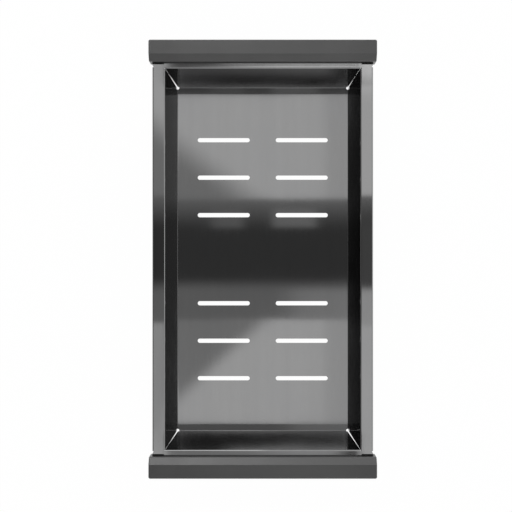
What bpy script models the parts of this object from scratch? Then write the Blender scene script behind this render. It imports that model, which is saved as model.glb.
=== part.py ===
"""Sink utility tray: a folded steel pan with drain slots, hung from two moulded end rails.

Run with: blender --background --python part.py
Units are metres and +Z is up. The origin is at the middle of the pan's underside.
X runs across the tray, and Y runs along it, from the front rail to the rear rail.
"""

from math import atan2, cos, pi, sin, tan

import bmesh
import bpy
from mathutils import Matrix, Vector

# Pan: the well is measured to the corners that its flat upper faces would meet at
SHEET = 0.0010
WELL_DEPTH = 0.0600
FLOOR_WIDTH = 0.1816
FLOOR_LENGTH = 0.3656
WALL_LEAN = 0.0058
BEND_RADIUS = 0.0005
SIDE_FLANGE = 0.0126
LIP_DEPTH = 0.0060

# Corners: the round relief where two folds meet, and the open seam, which narrows to the rim
RELIEF_DIAMETER = 0.0032
RELIEF_HEIGHT = 0.0022
SEAM_GAP_FOOT = 0.0010
SEAM_GAP_HEAD = 0.0004

# Drain slots: two columns, with the same rows on both sides of the middle
SLOT_LENGTH = 0.0555
SLOT_WIDTH = 0.0045
SLOT_COLUMN_PITCH = 0.0832
FIRST_ROW = 0.0470
ROW_PITCH = 0.0400
ROWS_EACH_SIDE = 3

# End rails: a moulded cap over the steel flange, and a base screwed up to it from below
RAIL_SHELF = 0.0057
RAIL_WIDTH = 0.0207
RAIL_RISE = 0.0076
RAIL_DROP = 0.0070
FACET_WIDTH = 0.0070
FACET_DROP = 0.0036
CAP_WALL = 0.0025
CAP_EDGE_RADIUS = 0.0008
OUTER_CORNER_RADIUS = 0.0018
INNER_CORNER_RADIUS = 0.0010
FLANGE_CLEARANCE = 0.0003
SEAT_CLEARANCE = 0.0003

# Base: its grooved face is the one that slides on a ledge, just below the cap's skirt
BASE_PROUD = 0.0008
BASE_EDGE_RADIUS = 0.0006
GROOVE_WIDTH = 0.0012
GROOVE_DEPTH = 0.0006
GROOVE_PITCH = 0.0034
GROOVE_COUNT = 4

# Screws, from below through the base and the flange into bosses under the cap's ceiling
SCREWS_PER_RAIL = 3
SCREW_INSET = 0.0295
SCREW_DIAMETER = 0.0034
SCREW_POINT = 0.0012
SHANK_CLEARANCE = 0.0005
HEAD_DIAMETER = 0.0064
HEAD_HEIGHT = 0.0022
HEAD_ROUND = 0.0009
HEAD_CLEARANCE = 0.0008
HEAD_LAND = 0.0026
RECESS_LENGTH = 0.0036
RECESS_WIDTH = 0.0009
RECESS_DEPTH = 0.0013
BOSS_WALL = 0.0017
BOSS_ROOF = 0.0018
RIB_THICKNESS = 0.0015

# How far a cutter runs past what it cuts, and how far a joined piece sinks in
OVERRUN = 0.0010
MERGE_DISTANCE = 0.00001

BEND_STEPS = 6
ROUND_STEPS = 4
CIRCLE_STEPS = 24
SMOOTH_ANGLE = 0.6

wall_angle = atan2(WELL_DEPTH, WALL_LEAN)
outer_bend = BEND_RADIUS + SHEET
foot_tangent = BEND_RADIUS * tan(wall_angle / 2)
rim_tangent = outer_bend * tan(wall_angle / 2)
half_floor_width = FLOOR_WIDTH / 2
half_floor_length = FLOOR_LENGTH / 2
half_rim_width = half_floor_width + WALL_LEAN
half_rim_length = half_floor_length + WALL_LEAN
half_pan_width = half_rim_width + SIDE_FLANGE
flange_top = SHEET + WELL_DEPTH
flange_bottom = flange_top - SHEET

rail_inner = half_rim_length + RAIL_SHELF
rail_outer = rail_inner + RAIL_WIDTH
rail_middle = (rail_inner + rail_outer) / 2
half_hollow_length = half_pan_width + FLANGE_CLEARANCE
half_rail_length = half_hollow_length + CAP_WALL
hollow_inner = rail_inner + CAP_WALL
hollow_outer = rail_outer - CAP_WALL
flange_end = hollow_outer - FLANGE_CLEARANCE
cap_top = flange_top + RAIL_RISE
cap_bottom = flange_bottom - RAIL_DROP
ceiling = cap_top - CAP_WALL
cap_seat = flange_top + SEAT_CLEARANCE
base_top = flange_bottom - SEAT_CLEARANCE
base_bottom = cap_bottom - BASE_PROUD

screw_line = (hollow_inner + flange_end) / 2
end_screw = half_hollow_length - SCREW_INSET
screw_pitch = 2 * end_screw / (SCREWS_PER_RAIL - 1)
screw_columns = [screw_pitch * n - end_screw for n in range(SCREWS_PER_RAIL)]
bore_radius = SCREW_DIAMETER / 2 + SEAT_CLEARANCE
boss_radius = bore_radius + BOSS_WALL
bore_top = cap_top - BOSS_ROOF
screw_tip = bore_top - SEAT_CLEARANCE
counterbore_top = base_top - HEAD_LAND
head_seat = counterbore_top - SEAT_CLEARANCE
head_foot = head_seat - HEAD_HEIGHT


def new_collection(name):
    collection = bpy.data.collections.new(name)
    bpy.context.scene.collection.children.link(collection)
    return collection


def new_material(name, colour, roughness, metallic):
    material = bpy.data.materials.new(name)
    material.use_nodes = True
    shader = material.node_tree.nodes["Principled BSDF"]
    shader.inputs["Base Color"].default_value = (*colour, 1.0)
    shader.inputs["Roughness"].default_value = roughness
    shader.inputs["Metallic"].default_value = metallic
    return material


def mesh_from(bm, name):
    mesh = bpy.data.meshes.new(name)
    bm.to_mesh(mesh)
    bm.free()
    return mesh


def new_object(name, mesh, collection):
    body = bpy.data.objects.new(name, mesh)
    collection.objects.link(body)
    return body


def new_cutter(name, bm):
    cutter = new_object(name, mesh_from(bm, name), cutters)
    cutter.hide_render = True
    cutter.display_type = "WIRE"
    return cutter


def add_boolean(body, other, operation):
    modifier = body.modifiers.new(other.name, "BOOLEAN")
    modifier.operation = operation
    modifier.object = other
    modifier.solver = "EXACT"


def finish_surface(mesh, material):
    mesh.materials.clear()
    mesh.materials.append(material)
    mesh.shade_smooth()
    mesh.set_sharp_from_angle(angle=SMOOTH_ANGLE)


def made_mesh(body, material):
    """The finished mesh of a form, with its modifiers applied. The form itself is removed."""
    graph = bpy.context.evaluated_depsgraph_get()
    mesh = bpy.data.meshes.new_from_object(body.evaluated_get(graph))
    mesh.name = body.name
    bpy.data.objects.remove(body)
    finish_surface(mesh, material)
    return mesh


def add_box(bm, low, high):
    low, high = Vector(low), Vector(high)
    place = Matrix.Translation((low + high) / 2) @ Matrix.Diagonal((*(high - low), 1.0))
    bmesh.ops.create_cube(bm, size=1.0, matrix=place)


def add_cylinder(bm, radius, centre, bottom, top, turn=0):
    """An upright cylinder at centre, an (x, y) pair. It returns the cylinder's own vertices."""
    place = Matrix.Translation((*centre, (bottom + top) / 2)) @ Matrix.Rotation(turn, 4, "Z")
    made = bmesh.ops.create_cone(
        bm, cap_ends=True, segments=CIRCLE_STEPS, radius1=radius, radius2=radius,
        depth=top - bottom, matrix=place,
    )
    return made["verts"]


def round_edges(bm, edges, radius):
    bmesh.ops.bevel(
        bm, geom=edges, offset=radius, segments=ROUND_STEPS, profile=0.5,
        affect="EDGES", clamp_overlap=True,
    )


# The pan is one blank: walls are folded up from the floor, flanges out and lips down

def seam_gap(height):
    """How far a wall stops short of the corner at this height."""
    share = (height - SHEET) / WELL_DEPTH
    return SEAM_GAP_FOOT + (SEAM_GAP_HEAD - SEAM_GAP_FOOT) * share


def wall_profile():
    """(outward, height) of the sheet's upper face, from the fold at the floor to the flange."""
    angles = [wall_angle * step / BEND_STEPS for step in range(BEND_STEPS + 1)]
    foot = [
        (BEND_RADIUS * sin(a) - foot_tangent, SHEET + BEND_RADIUS * (1 - cos(a)))
        for a in angles
    ]
    head = [
        (WALL_LEAN + rim_tangent - outer_bend * sin(a), flange_top - outer_bend * (1 - cos(a)))
        for a in reversed(angles)
    ]
    return foot + head


def lip_profile():
    """(outward, height) of the fold at the side flange's outer edge, and of the lip's own edge."""
    angles = [pi / 2 * step / BEND_STEPS for step in range(BEND_STEPS + 1)]
    fold = [
        (half_pan_width - outer_bend * (1 - sin(a)), flange_top - outer_bend * (1 - cos(a)))
        for a in angles
    ]
    return fold + [(half_pan_width, flange_top - LIP_DEPTH)]


def extrude_edge(bm, edge):
    made = bmesh.ops.extrude_edge_only(bm, edges=[edge])["geom"]
    return next(item for item in made if isinstance(item, bmesh.types.BMEdge))


def fold_strip(bm, edge, outward, along, steps):
    """Extrudes an edge through (reach, half span, height) steps, and returns each new edge."""
    made = []
    for reach, span, height in steps:
        edge = extrude_edge(bm, edge)
        for vert in edge.verts:
            side = 1 if vert.co.dot(along) > 0 else -1
            vert.co = outward * reach + along * side * span + Vector((0, 0, height))
        made.append(edge)
    return made


def fold_wall(bm, edge, outward, along, half_out, half_along):
    """Folds a wall up from its floor edge, and returns its rim edge and the rim's half span."""
    steps = [
        (half_out + reach, half_along + reach - seam_gap(height), height)
        for reach, height in wall_profile()[1:]
    ]
    return fold_strip(bm, edge, outward, along, steps)[-1], steps[-1][1]


def fold_side_flange(bm, rim, outward, along, half_span):
    """The side flange and its lip. The flange alone runs on into both rails, as two ears."""
    steps = [(reach, half_span, height) for reach, height in lip_profile()]
    fold_start = fold_strip(bm, rim, outward, along, steps)[0]
    corners = set(rim.verts) | set(fold_start.verts)
    flange = next(face for face in rim.link_faces if set(face.verts) == corners)
    for end in [edge for edge in flange.edges if edge not in (rim, fold_start)]:
        side = 1 if end.verts[0].co.dot(along) > 0 else -1
        for reach_along in (rail_inner, flange_end):
            end = extrude_edge(bm, end)
            inner, outer = sorted(end.verts, key=lambda vert: vert.co.dot(outward))
            shift = side * reach_along - inner.co.dot(along)
            inner.co += along * shift
            outer.co = inner.co + outward * (half_pan_width - inner.co.dot(outward))


def folded_blank():
    """The pan's upper face, as an open surface."""
    bm = bmesh.new()
    half_x, half_y = half_floor_width - foot_tangent, half_floor_length - foot_tangent
    gap = seam_gap(SHEET)
    corners = []
    for side_x, side_y in ((1, 1), (-1, 1), (-1, -1), (1, -1)):
        pair = [(half_x, half_y - gap), (half_x - gap, half_y)]
        for x, y in pair if side_x == side_y else reversed(pair):
            corners.append((side_x * x, side_y * y, SHEET))
    floor = bm.faces.new([bm.verts.new(corner) for corner in corners])
    for edge in [edge for edge in floor.edges if edge.calc_length() > 2 * gap]:
        middle = (edge.verts[0].co + edge.verts[1].co) / 2
        if abs(middle.x) > abs(middle.y):
            outward, along = Vector((1 if middle.x > 0 else -1, 0, 0)), Vector((0, 1, 0))
            rim, half_span = fold_wall(bm, edge, outward, along, half_floor_width, half_floor_length)
            fold_side_flange(bm, rim, outward, along, half_span)
        else:
            outward, along = Vector((0, 1 if middle.y > 0 else -1, 0)), Vector((1, 0, 0))
            rim, half_span = fold_wall(bm, edge, outward, along, half_floor_length, half_floor_width)
            fold_strip(bm, rim, outward, along, [(flange_end, half_span, flange_top)])
    return mesh_from(bm, "tray_pan")


def add_slot(bm, x, y):
    """An upright obround: a cylinder with flats on its sides, whose halves are drawn apart."""
    half_step = pi / CIRCLE_STEPS
    radius = SLOT_WIDTH / 2 / cos(half_step)
    straight = (SLOT_LENGTH - SLOT_WIDTH) / 2
    for vert in add_cylinder(bm, radius, (x, y), -OVERRUN, SHEET + OVERRUN, half_step):
        vert.co.x += straight if vert.co.x > x else -straight


def pan_cutter():
    """Every hole in the pan: drain slots, corner reliefs and the end flanges' screw holes."""
    bm = bmesh.new()
    for side_y in (-1, 1):
        for side_x in (-1, 1):
            for row in range(ROWS_EACH_SIDE):
                y = side_y * (FIRST_ROW + ROW_PITCH * row)
                add_slot(bm, side_x * SLOT_COLUMN_PITCH / 2, y)
            corner = (side_x * half_floor_width, side_y * half_floor_length)
            add_cylinder(bm, RELIEF_DIAMETER / 2, corner, -OVERRUN, SHEET + RELIEF_HEIGHT)
        for x in screw_columns:
            radius, place = SCREW_DIAMETER / 2 + SHANK_CLEARANCE, (x, side_y * screw_line)
            add_cylinder(bm, radius, place, flange_bottom - OVERRUN, flange_top + OVERRUN)
    return new_cutter("pan_holes", bm)


def make_pan():
    mesh = folded_blank()
    finish_surface(mesh, steel)
    pan = new_object("tray_pan", mesh, tray)
    sheet = pan.modifiers.new("sheet", "SOLIDIFY")
    sheet.thickness = SHEET
    sheet.offset = -1
    sheet.use_even_offset = True
    add_boolean(pan, pan_cutter(), "DIFFERENCE")


# Both rails are alike: each piece is modelled at the rear, and turned half round for the front

def rail_block(low_x, high_x, inner, outer, bottom, top, facet_inset):
    """A bar whose top slopes down towards the pan, by facet_inset below the cap's own facet."""
    bm = bmesh.new()
    add_box(bm, (low_x, inner, bottom), (high_x, outer, top))
    slope = Vector((0, -FACET_DROP, FACET_WIDTH)).normalized()
    crease = Vector((0, rail_inner + FACET_WIDTH, cap_top)) - slope * facet_inset
    everything = bm.verts[:] + bm.edges[:] + bm.faces[:]
    cut = bmesh.ops.bisect_plane(
        bm, geom=everything, plane_co=crease, plane_no=slope, clear_outer=True
    )
    rim = [item for item in cut["geom_cut"] if isinstance(item, bmesh.types.BMEdge)]
    bmesh.ops.holes_fill(bm, edges=rim)
    bmesh.ops.recalc_face_normals(bm, faces=bm.faces)
    return bm


def is_upright(edge):
    span = edge.verts[0].co - edge.verts[1].co
    return abs(span.z) > max(abs(span.x), abs(span.y))


def is_top_edge(edge):
    """Whether an edge joins a face that looks up to one that looks sideways."""
    rises = sorted(face.normal.z for face in edge.link_faces)
    return rises[0] < sin(pi / 8) and rises[-1] > cos(pi / 4)


def cap_shell():
    """The cap's outside, with rounded corners and a softened top."""
    bm = rail_block(
        -half_rail_length, half_rail_length, rail_inner, rail_outer, cap_bottom, cap_top, 0
    )
    for radius, side in ((OUTER_CORNER_RADIUS, 1), (INNER_CORNER_RADIUS, -1)):
        corners = [e for e in bm.edges if is_upright(e) and (e.verts[0].co.y - rail_middle) * side > 0]
        round_edges(bm, corners, radius)
    bm.normal_update()
    round_edges(bm, [edge for edge in bm.edges if is_top_edge(edge)], CAP_EDGE_RADIUS)
    return mesh_from(bm, "rail_cap")


def hollow_cutter():
    """The cap's hollow, open below."""
    return new_cutter("cap_hollow", rail_block(
        -half_hollow_length, half_hollow_length, hollow_inner, hollow_outer,
        cap_bottom - OVERRUN, ceiling, CAP_WALL,
    ))


def mouth_cutter():
    """The opening in the cap's inner side, which the steel flange and the base pass through."""
    bm = bmesh.new()
    low = (-half_hollow_length, rail_inner - OVERRUN, cap_bottom - OVERRUN)
    add_box(bm, low, (half_hollow_length, hollow_inner + OVERRUN, cap_seat))
    return new_cutter("cap_mouth", bm)


def upright_set(name, radius, bottom, top):
    """One cylinder at each screw."""
    bm = bmesh.new()
    for x in screw_columns:
        add_cylinder(bm, radius, (x, screw_line), bottom, top)
    return new_cutter(name, bm)


def cap_ribs():
    """Ribs across the hollow, down to the flange: halfway between screws, and on to the ends."""
    stops = [-half_hollow_length, *screw_columns, half_hollow_length]
    places = [(first + second) / 2 for first, second in zip(stops, stops[1:])]
    return [
        new_cutter(f"cap_rib_{number + 1}", rail_block(
            x - RIB_THICKNESS / 2, x + RIB_THICKNESS / 2,
            hollow_inner - OVERRUN, hollow_outer + OVERRUN, cap_seat, cap_top, CAP_WALL / 2,
        ))
        for number, x in enumerate(places)
    ]


def cap_mesh():
    form = new_object("rail_cap", cap_shell(), cutters)
    add_boolean(form, hollow_cutter(), "DIFFERENCE")
    add_boolean(form, upright_set("cap_bosses", boss_radius, cap_seat, ceiling + OVERRUN), "UNION")
    for rib in cap_ribs():
        add_boolean(form, rib, "UNION")
    add_boolean(form, mouth_cutter(), "DIFFERENCE")
    bores = upright_set("cap_bores", bore_radius, cap_seat - OVERRUN, bore_top)
    add_boolean(form, bores, "DIFFERENCE")
    return made_mesh(form, plastic)


def groove_cutter(half_length, middle):
    """Grooves along the face that meets the ledge."""
    bm = bmesh.new()
    for number in range(GROOVE_COUNT):
        y = middle + GROOVE_PITCH * (number - (GROOVE_COUNT - 1) / 2)
        low = (-half_length - OVERRUN, y - GROOVE_WIDTH / 2, base_bottom - OVERRUN)
        high = (half_length + OVERRUN, y + GROOVE_WIDTH / 2, base_bottom + GROOVE_DEPTH)
        add_box(bm, low, high)
    return new_cutter("base_grooves", bm)


def base_mesh():
    """The bar that closes the cap from below, with a counterbored hole for each screw."""
    half_length = half_hollow_length - SEAT_CLEARANCE
    inner, outer = rail_inner + SEAT_CLEARANCE, hollow_outer - SEAT_CLEARANCE
    bm = bmesh.new()
    add_box(bm, (-half_length, inner, base_bottom), (half_length, outer, base_top))
    below = [edge for edge in bm.edges if all(vert.co.z < cap_bottom for vert in edge.verts)]
    round_edges(bm, below, BASE_EDGE_RADIUS)
    form = new_object("rail_base", mesh_from(bm, "rail_base"), cutters)
    add_boolean(form, groove_cutter(half_length, (inner + outer) / 2), "DIFFERENCE")
    shank_radius = SCREW_DIAMETER / 2 + SHANK_CLEARANCE
    shanks = upright_set("base_holes", shank_radius, base_bottom - OVERRUN, base_top + OVERRUN)
    add_boolean(form, shanks, "DIFFERENCE")
    head_radius = HEAD_DIAMETER / 2 + HEAD_CLEARANCE
    heads = upright_set("base_counterbores", head_radius, base_bottom - OVERRUN, counterbore_top)
    add_boolean(form, heads, "DIFFERENCE")
    return made_mesh(form, dark_plastic)


def screw_profile():
    """Half the screw's outline, from its tip down to the middle of its head."""
    shank, head = SCREW_DIAMETER / 2, HEAD_DIAMETER / 2
    outline = [(0, screw_tip), (shank / 2, screw_tip), (shank, screw_tip - SCREW_POINT)]
    outline += [(shank, head_seat), (head, head_seat)]
    angles = [pi / 2 * step / ROUND_STEPS for step in range(ROUND_STEPS + 1)]
    outline += [
        (head - HEAD_ROUND * (1 - cos(a)), head_foot + HEAD_ROUND * (1 - sin(a))) for a in angles
    ]
    return outline + [(0, head_foot)]


def recess_cutter(name, half_x, half_y):
    bm = bmesh.new()
    add_box(bm, (-half_x, -half_y, head_foot - OVERRUN), (half_x, half_y, head_foot + RECESS_DEPTH))
    return new_cutter(name, bm)


def screw_mesh():
    """One pan-head screw with a cross recess, point up, on the Z axis."""
    bm = bmesh.new()
    verts = [bm.verts.new((radius, 0, height)) for radius, height in screw_profile()]
    for first, second in zip(verts, verts[1:]):
        bm.edges.new((first, second))
    form = new_object("rail_screw", mesh_from(bm, "rail_screw"), cutters)
    turned = form.modifiers.new("turned", "SCREW")
    turned.steps = turned.render_steps = CIRCLE_STEPS
    turned.use_merge_vertices = True
    turned.merge_threshold = MERGE_DISTANCE
    arm, flank = RECESS_LENGTH / 2, RECESS_WIDTH / 2
    add_boolean(form, recess_cutter("recess_across", arm, flank), "DIFFERENCE")
    add_boolean(form, recess_cutter("recess_along", flank, arm), "DIFFERENCE")
    return made_mesh(form, bright_steel)


for old in list(bpy.data.objects):
    bpy.data.objects.remove(old, do_unlink=True)

tray = new_collection("utility_tray")
cutters = new_collection("cutters")
steel = new_material("gunmetal_steel", (0.29, 0.29, 0.29), 0.2, 1.0)
plastic = new_material("grey_plastic", (0.08, 0.08, 0.08), 0.5, 0.0)
dark_plastic = new_material("dark_plastic", (0.03, 0.03, 0.03), 0.7, 0.0)
bright_steel = new_material("bright_steel", (0.55, 0.55, 0.56), 0.3, 1.0)

make_pan()
cap, base, screw = cap_mesh(), base_mesh(), screw_mesh()
for rail, side_y in (("rear", 1), ("front", -1)):
    for piece, mesh in (("cap", cap), ("base", base)):
        body = new_object(f"{rail}_rail_{piece}", mesh, tray)
        body.rotation_euler.z = 0 if side_y > 0 else pi
    for number, x in enumerate(screw_columns):
        body = new_object(f"{rail}_rail_screw_{number + 1}", screw, tray)
        body.location = (x, side_y * screw_line, 0)
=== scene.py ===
"""Finish of the sink utility tray: the folded gunmetal pan, its moulded end rails and their screws."""

from math import atan2, cos, hypot, pi, sin, sqrt, tan

import bmesh
import bpy
from mathutils import Matrix, Vector


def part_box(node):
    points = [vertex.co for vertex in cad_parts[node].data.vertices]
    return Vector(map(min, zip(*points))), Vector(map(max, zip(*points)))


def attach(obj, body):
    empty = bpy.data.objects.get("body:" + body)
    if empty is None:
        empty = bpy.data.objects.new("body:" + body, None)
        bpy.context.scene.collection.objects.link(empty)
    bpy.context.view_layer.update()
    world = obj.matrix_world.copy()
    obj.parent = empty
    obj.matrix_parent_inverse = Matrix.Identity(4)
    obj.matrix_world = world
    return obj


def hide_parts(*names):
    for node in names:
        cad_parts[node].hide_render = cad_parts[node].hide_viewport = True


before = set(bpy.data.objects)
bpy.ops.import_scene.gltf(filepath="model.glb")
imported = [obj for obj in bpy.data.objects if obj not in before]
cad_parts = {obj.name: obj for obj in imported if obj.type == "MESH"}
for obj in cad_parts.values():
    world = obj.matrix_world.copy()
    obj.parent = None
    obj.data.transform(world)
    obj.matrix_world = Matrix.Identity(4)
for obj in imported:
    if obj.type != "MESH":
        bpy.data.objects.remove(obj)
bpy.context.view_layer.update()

pan_low, pan_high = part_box("tray_pan")
cap_low, cap_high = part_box("rear_rail_cap")
base_low, base_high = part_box("rear_rail_base")

# Pan, in metres: the well is measured to the corners that its flat upper faces would meet at
SHEET = 0.0010
WALL_LEAN = 0.0058
BEND_RADIUS = 0.0003
SIDE_FLANGE = 0.0126
LIP_DEPTH = 0.0060
RAIL_SHELF = 0.0057
END_FLANGE_DIP = 0.00009

# The side flange's end is set down, to pass under the rail cap's edge
TUCK_DROP = 0.0008
TUCK_ANGLE = 0.8
TUCK_ROUND = 0.00115
TUCK_HOLLOW = 0.0003
TUCK_SHORT = 0.0005
TUCK_UNDER = 0.0002

# Corners: each has a keyhole relief, and a seam, given as its gap at the foot and the share of the depth
# where it closes
RELIEF_RADIUS = 0.0018
SEAM_CLOSED_GAP = 0.00003
SEAMS = {
    (-1, 1): (0.0008, 0.70), (1, 1): (0.0005, 0.44),
    (-1, -1): (0.0007, 0.70), (1, -1): (0.0008, 0.96),
}

# Drain slots, each end rounded by just under half the width
SLOT_LENGTH = 0.0555
SLOT_WIDTH = 0.0045
SLOT_ROUND_SHARE = 0.4999
SLOT_COLUMN_PITCH = 0.0832
FIRST_ROW = 0.0470
ROW_PITCH = 0.0400
ROWS_EACH_SIDE = 3

# Rail caps
FACET_WIDTH = 0.0070
FACET_DROP = 0.0036
CAP_WALL = 0.0025
CAP_EDGE_RADIUS = 0.0008
CREASE_SOFTENING = 0.0005
OUTER_CORNER_RADIUS = 0.0018
INNER_CORNER_RADIUS = 0.0010
SEAT_CLEARANCE = 0.0003

# Rail bases
BASE_EDGE_RADIUS = 0.0006
GROOVE_WIDTH = 0.0012
GROOVE_DEPTH = 0.0006
GROOVE_PITCH = 0.0034
GROOVE_COUNT = 4

# Screws, with the bosses that they turn into and the ribs between these
SCREWS_PER_RAIL = 3
SCREW_INSET = 0.0295
SCREW_DIAMETER = 0.0034
SCREW_POINT = 0.0012
THREAD_PITCH = 0.0012
THREAD_DEPTH = 0.0004
THREAD_STEEPNESS = 3.2
SHANK_CLEARANCE = 0.0005
HEAD_DIAMETER = 0.0064
HEAD_HEIGHT = 0.0022
HEAD_ROUND = 0.0009
HEAD_CLEARANCE = 0.0008
HEAD_LAND = 0.0026
RECESS_LENGTH = 0.0036
RECESS_WIDTH = 0.0009
RECESS_DEPTH = 0.0013
RECESS_TAPER = 0.8
BOSS_WALL = 0.0017
BOSS_ROOF = 0.0018
RIB_THICKNESS = 0.0015
RIB_SETBACK = 0.0020

# How far a cutter runs past what it cuts, and how far a joined piece sinks in
OVERRUN = 0.0010
SINK = 0.0003

# Sheet metal is deburred, and moulded edges are never quite sharp. Only edges past the angle are rounded
DEBURR = 0.00006
MOULDED_EDGE = 0.0003
SMOOTH_ANGLE = 0.6
EDGE_STEPS = 2

# How far the cap's faces look up: upright ones at most, and the top, the facet and level ones at least
UPRIGHT_RISE, TOP_RISE, FACET_RISE, LEVEL_RISE = sin(pi / 8), cos(pi / 4), 0.8, 0.999

# How finely curves are stepped, and how near two corners have to be to become one
FOLD_STEPS = 14
RELIEF_ROWS = 8
RELIEF_ARC_STEPS = 10
SLOT_END_STEPS = 10
ROUND_STEPS = 6
CORNER_STEPS = 8
CREASE_STEPS = 3
CIRCLE_STEPS = 32
THREAD_STEPS = 8
MERGE_DISTANCE = 0.000001

flange_top = pan_high.z
half_pan_width = pan_high.x
half_rim_width = half_pan_width - SIDE_FLANGE
half_floor_width = half_rim_width - WALL_LEAN
rail_inner = cap_low.y
half_rim_length = rail_inner - RAIL_SHELF
half_floor_length = half_rim_length - WALL_LEAN
flange_end = pan_high.y
well_depth = flange_top - SHEET

half_rail_length, rail_outer, cap_top = cap_high
cap_bottom, base_bottom, base_top = cap_low.z, base_low.z, base_high.z
rail_middle = (rail_inner + rail_outer) / 2
half_hollow_length = half_rail_length - CAP_WALL
hollow_inner, hollow_outer = rail_inner + CAP_WALL, rail_outer - CAP_WALL
ceiling = cap_top - CAP_WALL
cap_seat = flange_top + SEAT_CLEARANCE
screw_line = (hollow_inner + flange_end) / 2
end_screw = half_hollow_length - SCREW_INSET
screw_pitch = 2 * end_screw / (SCREWS_PER_RAIL - 1)
bore_radius = SCREW_DIAMETER / 2 + SEAT_CLEARANCE
hole_radius = SCREW_DIAMETER / 2 + SHANK_CLEARANCE
bore_top = cap_top - BOSS_ROOF
counterbore_top = base_top - HEAD_LAND
screw_tip = bore_top - SEAT_CLEARANCE
head_seat = counterbore_top - SEAT_CLEARANCE
head_foot = head_seat - HEAD_HEIGHT

wall_angle = atan2(well_depth, WALL_LEAN)
outer_bend = BEND_RADIUS + SHEET
foot_tangent = BEND_RADIUS * tan(wall_angle / 2)
rim_tangent = outer_bend * tan(wall_angle / 2)
relief_centre = BEND_RADIUS * wall_angle / 2

# Camera, straight above the middle, and the photograph's own framing
IMAGE_SIZE = 512
FOCAL_LENGTH_PX = 764
CENTRE_PX = (262.75, 259.2)
CAMERA_HEIGHT = 0.755
SENSOR = 36.0

# Stage planes, each as its left and right side and (y, z) of its front and rear edge
FLOOR_PLANE = (-4.0, 4.0, (-4.0, -0.0003), (4.0, -0.0003))
OVERHEAD_PLANE = (-1.1, 1.1, (-1.2, 1.6), (1.0, 1.6))
SOFTBOX_PLANE = (-1.2, 0.0, (0.82, 1.50), (1.50, 1.20))
SOFTBOX_LEVEL = 2.8

# The steel's tones and its roughness, which brush hairs and clouds add to
BLANK_MAP = "blank"
STEEL_DARK, STEEL_LIGHT = 0.283, 0.307
STEEL_CLOUDED = (0.276, 0.279, 0.286, 1.0)
STEEL_ROUGHNESS, HAIR_ROUGHNESS, CLOUD_ROUGHNESS = 0.032, 0.03, 0.02

# What all the trees that place screws, bosses or screw holes are given
SCREW_SIZES = ("Screw pitch", "Screw line")
SCREW_PLACES = {"Screws": SCREWS_PER_RAIL, "Screw pitch": screw_pitch, "Screw line": screw_line}


# Node helpers

def put(tree, value, socket):
    """Links a node's output to a socket, or sets the socket to a plain value."""
    if isinstance(value, bpy.types.NodeSocket):
        tree.links.new(value, socket)
    else:
        socket.default_value = value


def set_inputs(tree, node, values):
    for name, value in values.items():
        put(tree, value, node.inputs[name])


def add_node(tree, kind, settings=None, **inputs):
    """A node with its settings, and its inputs put in by name, or by number as i0, i1 and so on."""
    node = tree.nodes.new(kind)
    for name, value in (settings or {}).items():
        setattr(node, name, value)
    for name, value in inputs.items():
        numbered = name[0] == "i" and name[1:].isdigit()
        put(tree, value, node.inputs[int(name[1:]) if numbered else name.replace("_", " ")])
    return node


def math_node(tree, operation, first, second, clamp=False):
    settings = {"operation": operation, "use_clamp": clamp}
    return add_node(tree, "ShaderNodeMath", settings, i0=first, i1=second).outputs[0]


def plus(tree, first, second):
    return math_node(tree, "ADD", first, second)


def minus(tree, first, second):
    return math_node(tree, "SUBTRACT", first, second)


def times(tree, first, second, clamp=False):
    return math_node(tree, "MULTIPLY", first, second, clamp)


def halved(tree, value):
    return times(tree, value, 0.5)


def largest(tree, value, *others):
    for other in others:
        value = math_node(tree, "MAXIMUM", value, other)
    return value


def vector_of(tree, x=0.0, y=0.0, z=0.0):
    return add_node(tree, "ShaderNodeCombineXYZ", X=x, Y=y, Z=z).outputs[0]


def vector_math(tree, operation, first, second):
    return add_node(tree, "ShaderNodeVectorMath", {"operation": operation}, i0=first, i1=second).outputs


def place_on_object(tree):
    return add_node(tree, "ShaderNodeTexCoord").outputs["Object"]


def noise(tree, vector, scale, detail, roughness):
    node = add_node(
        tree, "ShaderNodeTexNoise", {"noise_dimensions": "3D"},
        Vector=vector, Scale=scale, Detail=detail, Roughness=roughness,
    )
    return node.outputs["Fac"]


def ramp(tree, value, low, high, low_out=0.0, high_out=1.0):
    node = add_node(
        tree, "ShaderNodeMapRange", {"clamp": True, "interpolation_type": "SMOOTHSTEP"},
        Value=value, From_Min=low, From_Max=high, To_Min=low_out, To_Max=high_out,
    )
    return node.outputs["Result"]


def mixed_colour(tree, share, first, second):
    mix = add_node(tree, "ShaderNodeMix", {"data_type": "RGBA"}, i0=share, i6=first, i7=second)
    return mix.outputs[2]


def grey(tone):
    return (tone, tone, tone, 1.0)


def ends_of(tree):
    """What a tree is given, as sockets to link from, and what it makes, as sockets to link to."""
    return tree.nodes.new("NodeGroupInput").outputs, tree.nodes.new("NodeGroupOutput").inputs


def new_group(name, inputs, outputs):
    """A shader node group and its ends. Its inputs are numbers with a default, or a vector for None."""
    group = bpy.data.node_groups.new(name, "ShaderNodeTree")
    for label, default in inputs.items():
        kind = "NodeSocketVector" if default is None else "NodeSocketFloat"
        socket = group.interface.new_socket(label, in_out="INPUT", socket_type=kind)
        if default is not None:
            socket.default_value = default
    for label in outputs:
        group.interface.new_socket(label, in_out="OUTPUT", socket_type="NodeSocketFloat")
    return group, *ends_of(group)


# Shared effects

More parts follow.
